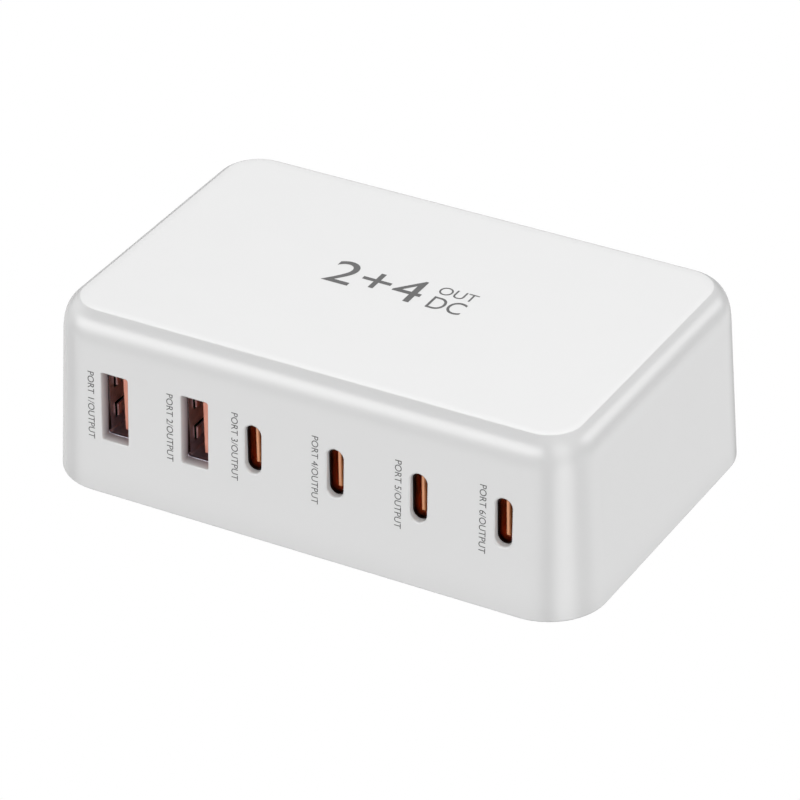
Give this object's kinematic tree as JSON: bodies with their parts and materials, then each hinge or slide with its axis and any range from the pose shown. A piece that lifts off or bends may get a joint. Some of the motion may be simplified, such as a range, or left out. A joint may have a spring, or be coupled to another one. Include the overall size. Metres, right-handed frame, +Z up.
{
  "type": "multi-port desktop charger",
  "caption": "White block charger with drafted, rounded walls and a flat top, a row of upright type-A and type-C sockets on its front and a mains inlet at its back.",
  "frame": {"origin": "on the table under the middle of the housing", "axes": "+X along the row of sockets, to the right as seen from the front; sockets face -Y; +Z up"},
  "size_m": [0.103, 0.0674, 0.0338],
  "materials": {
    "bobbin_plastic": "moulded",
    "ferrite": "sintered",
    "winding_tape": "polyester tape",
    "white_cover": "fine texture",
    "bridge_epoxy": "moulded",
    "can_sleeve": "shrink sleeve",
    "choke_ferrite": "coated",
    "copper_wire": "enamelled",
    "inductor_block": "pressed",
    "screw_steel": "zinc plated",
    "disc_coat": "dipped",
    "foot_rubber": "matte",
    "fuse_cap": "moulded",
    "sink_metal": "extruded",
    "white_shell": "satin",
    "inlet_plastic": "moulded",
    "pin_nickel": "nickel plated",
    "insulation_film": "matte film",
    "film_box": "moulded",
    "board": "solder mask",
    "bare_can": "bright",
    "contact_gold": "gold plated",
    "a_sleeve_steel": "nickel plated",
    "tongue_salmon": "moulded",
    "c_sleeve_steel": "dark nickel",
    "tongue_orange": "moulded"
  },
  "bodies": {
    "root": {"boost_inductor_bobbin": "bobbin_plastic", "boost_inductor_core": "ferrite", "boost_inductor_winding": "winding_tape", "bottom_cover": "white_cover", "bridge_rectifier": "bridge_epoxy", "bulk_capacitor_1": "can_sleeve", "bulk_capacitor_2": "can_sleeve", "bulk_capacitor_3": "can_sleeve", "choke_base": "bobbin_plastic", "choke_core": "choke_ferrite", "choke_windings": "copper_wire", "converter_inductor_1": "inductor_block", "converter_inductor_2": "inductor_block", "converter_inductor_3": "inductor_block", "converter_inductor_4": "inductor_block", "converter_inductor_5": "inductor_block", "cover_screws": "screw_steel", "disc_capacitor": "disc_coat", "foot_front_left": "foot_rubber", "foot_front_right": "foot_rubber", "foot_rear_left": "foot_rubber", "foot_rear_right": "foot_rubber", "fuse": "fuse_cap", "heat_sink_mains": "sink_metal", "heat_sink_output": "sink_metal", "housing": "white_shell", "inlet_body": "inlet_plastic", "inlet_pins": "pin_nickel", "insulation_sheet": "insulation_film", "line_capacitor": "film_box", "main_board": "board", "output_capacitor_1": "bare_can", "output_capacitor_2": "bare_can", "port_a1_contacts": "contact_gold", "port_a1_sleeve": "a_sleeve_steel", "port_a1_tongue": "tongue_salmon", "port_a2_contacts": "contact_gold", "port_a2_sleeve": "a_sleeve_steel", "port_a2_tongue": "tongue_salmon", "port_board": "board", "port_c1_contacts": "contact_gold", "port_c1_sleeve": "c_sleeve_steel", "port_c1_tongue": "tongue_orange", "port_c2_contacts": "contact_gold", "port_c2_sleeve": "c_sleeve_steel", "port_c2_tongue": "tongue_orange", "port_c3_contacts": "contact_gold", "port_c3_sleeve": "c_sleeve_steel", "port_c3_tongue": "tongue_orange", "port_c4_contacts": "contact_gold", "port_c4_sleeve": "c_sleeve_steel", "port_c4_tongue": "tongue_orange", "transformer_bobbin": "bobbin_plastic", "transformer_core": "ferrite", "transformer_winding": "winding_tape"}
  },
  "joints": []
}
